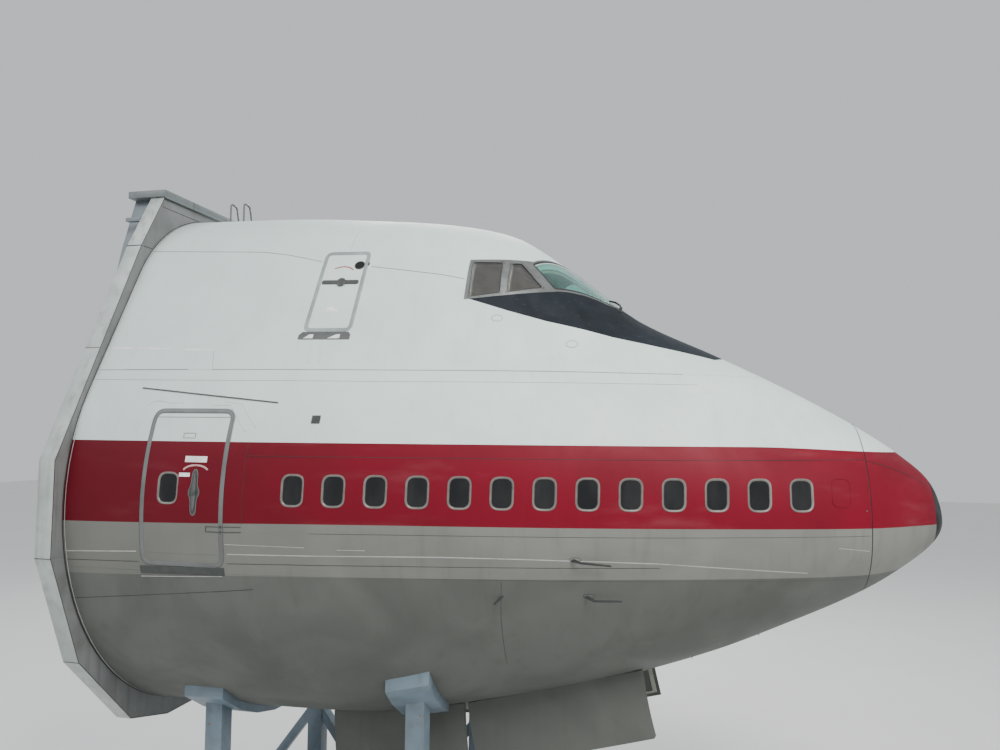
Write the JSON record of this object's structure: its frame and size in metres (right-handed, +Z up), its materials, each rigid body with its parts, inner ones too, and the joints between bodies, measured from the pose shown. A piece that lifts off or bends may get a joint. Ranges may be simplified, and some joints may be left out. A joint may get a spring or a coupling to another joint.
{
  "type": "wide-body airliner nose section",
  "caption": "Full-size nose section of a wide-body airliner on its nose gear and a steel cradle, with radome, flight deck, plug doors, gear doors and a rear weather collar.",
  "frame": {"origin": "on the floor, under the middle of the section's overall box", "axes": "+X towards the nose, +Y to the aircraft's left, +Z up"},
  "size_m": [11.86, 6.84, 10.2429],
  "materials": {
    "white_paint": "semi-gloss white paint, weathered",
    "grey_paint": "semi-gloss grey paint",
    "radome_paint": "red and white gloss paint",
    "nose_cap_coating": "dark matt erosion coating",
    "window_glass": "clear tinted glass",
    "dark_plastic": "matt dark grey",
    "seat_fabric": "woven tan fabric",
    "antenna_plastic": "off-white plastic",
    "collar_sheet": "weathered grey painted sheet",
    "bare_steel": "galvanized steel",
    "gear_paint": "light grey gloss paint",
    "polished_steel": "polished",
    "tyre_rubber": "matt black rubber",
    "wheel_alloy": "painted silver",
    "cradle_paint": "blue-grey paint"
  },
  "bodies": {
    "airframe": {"belly_nose": "grey_paint", "gear_bay_section": "grey_paint", "belly_aft": "grey_paint", "main_deck_shell": "white_paint", "upper_nose": "white_paint", "flight_deck_shell": "white_paint", "upper_deck_aft": "white_paint", "main_door_right": "white_paint", "main_door_left": "white_paint", "upper_deck_door": "white_paint", "side_window_front_right": "window_glass", "side_window_rear_right": "window_glass", "side_window_front_left": "window_glass", "side_window_rear_left": "window_glass", "windshield_right": "window_glass", "windshield_left": "window_glass", "instrument_panel": "dark_plastic", "pilot_seat_right": "seat_fabric", "pilot_seat_left": "seat_fabric", "radome_bulkhead": "grey_paint", "radar_antenna": "antenna_plastic", "collar_top": "collar_sheet", "collar_right": "collar_sheet", "collar_left": "collar_sheet", "collar_bottom": "collar_sheet", "rear_closure": "collar_sheet", "coping": "collar_sheet", "crown_grab_rails": "bare_steel", "gear_outer_cylinder": "gear_paint", "gear_drag_brace": "gear_paint", "taxi_lights": "bare_steel", "gear_door_rear_right": "grey_paint", "gear_door_rear_left": "grey_paint", "cradle_post_front_right": "cradle_paint", "cradle_post_rear_right": "cradle_paint", "cradle_beam_right": "cradle_paint", "cradle_post_front_left": "cradle_paint", "cradle_post_rear_left": "cradle_paint", "cradle_beam_left": "cradle_paint", "cradle_pad_rear": "cradle_paint", "cradle_cross_1": "cradle_paint", "cradle_cross_2": "cradle_paint", "cradle_cross_3": "cradle_paint"},
    "radome_body": {"radome": "radome_paint", "nose_cap": "nose_cap_coating"},
    "steered_leg": {"gear_piston_axle": "polished_steel", "gear_torque_links": "gear_paint"},
    "nose_wheels": {"nose_tyre_right": "tyre_rubber", "nose_wheel_right": "wheel_alloy", "nose_tyre_left": "tyre_rubber", "nose_wheel_left": "wheel_alloy"},
    "front_door_right": {"gear_door_front_right": "grey_paint"},
    "front_door_left": {"gear_door_front_left": "grey_paint"}
  },
  "joints": [
    {"name": "radome_hinge", "type": "hinge", "parent": "airframe", "child": "radome_body", "pos_m": [4.813, 0, 6.525], "axis": [0, -1, 0], "range_deg": [0, 65]},
    {"name": "nose_steering", "type": "hinge", "parent": "airframe", "child": "steered_leg", "pos_m": [-1.81, 0, 0.62], "axis": [0, 0, 1], "range_deg": [-70, 70]},
    {"name": "nose_wheels_roll", "type": "hinge", "parent": "steered_leg", "child": "nose_wheels", "pos_m": [-1.87, 0, 0.62], "axis": [0, 1, 0], "continuous": true},
    {"name": "front_door_right_hinge", "type": "hinge", "parent": "airframe", "child": "front_door_right", "pos_m": [1.958, -0.8854, 3.177], "axis": [0.9665, 0, 0.2567], "range_deg": [0, 82]},
    {"name": "front_door_left_hinge", "type": "hinge", "parent": "airframe", "child": "front_door_left", "pos_m": [1.958, 0.8854, 3.177], "axis": [-0.9665, 0, -0.2567], "range_deg": [0, 82]}
  ]
}
